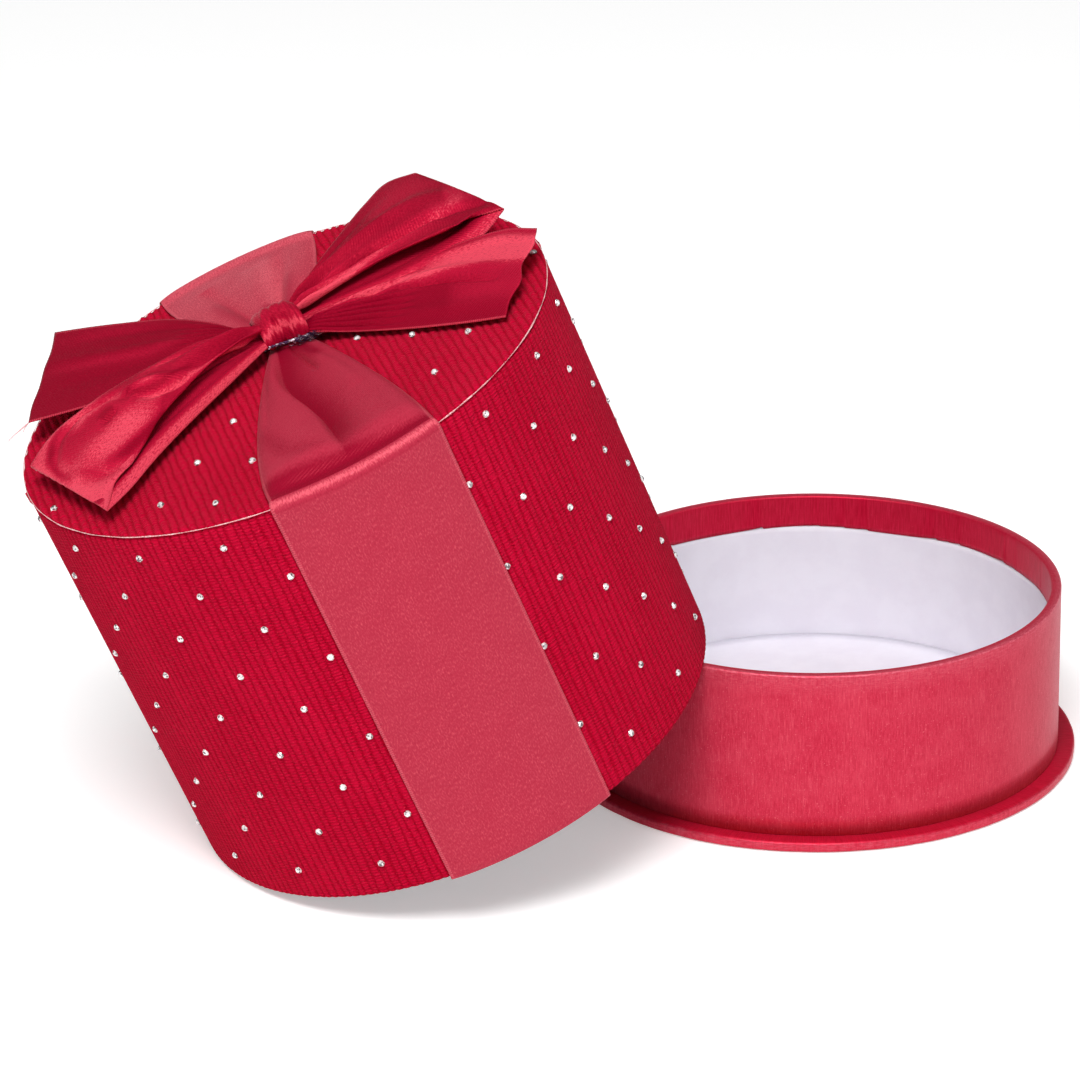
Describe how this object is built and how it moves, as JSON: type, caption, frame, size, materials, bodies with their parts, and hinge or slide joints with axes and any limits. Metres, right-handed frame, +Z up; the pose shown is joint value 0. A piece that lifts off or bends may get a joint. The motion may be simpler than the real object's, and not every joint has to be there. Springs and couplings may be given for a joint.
{
  "type": "round gift box",
  "caption": "Round gift box, open: a low papered base with a neck, and a tall corduroy cover with a satin ribbon, bow and set stones, leaning on the neck.",
  "frame": {"origin": "centre of the base's underside, on the surface that the box stands on", "axes": "+Z up along the neck's axis; seen from the front with the cover to the left, +X points right and +Y away"},
  "size_m": [0.2902, 0.2131, 0.1769],
  "materials": {
    "base_paper": "pearlescent paper, satin sheen",
    "lining_paper": "matte white paper",
    "cover_lining": "matte white paper",
    "greyboard_base": "raw greyboard",
    "greyboard_cover": "raw greyboard",
    "corduroy": "fine-wale corduroy with small clear stones in a staggered grid",
    "satin_wrap": "satin ribbon",
    "satin_bow": "satin ribbon",
    "clear_stone": "clear faceted stone, foiled back",
    "tinsel_wire": "tinsel twist"
  },
  "bodies": {
    "base": {"base_plate_board": "greyboard_base", "base_plate_wrap": "base_paper", "base_underside_paper": "lining_paper", "neck_tube_board": "greyboard_base", "neck_wrap_paper": "base_paper", "neck_lining_paper": "lining_paper", "inner_floor_board": "lining_paper"},
    "cover": {"cover_tube_board": "greyboard_cover", "cover_top_board": "greyboard_cover", "cover_lining_paper": "cover_lining", "cover_top_lining": "cover_lining", "cover_fabric_wall": "corduroy", "cover_fabric_top": "corduroy", "wrap_ribbon": "satin_wrap", "bow_loop_left": "satin_bow", "bow_loop_right": "satin_bow", "bow_tail_left": "satin_bow", "bow_tail_right": "satin_bow", "bow_knot": "satin_bow", "bow_tie_wire": "tinsel_wire"}
  },
  "joints": [
    {"name": "cover_lift", "type": "slide", "parent": "base", "child": "cover", "axis": [0, 0, 1], "range_m": [0, 0.15]}
  ]
}
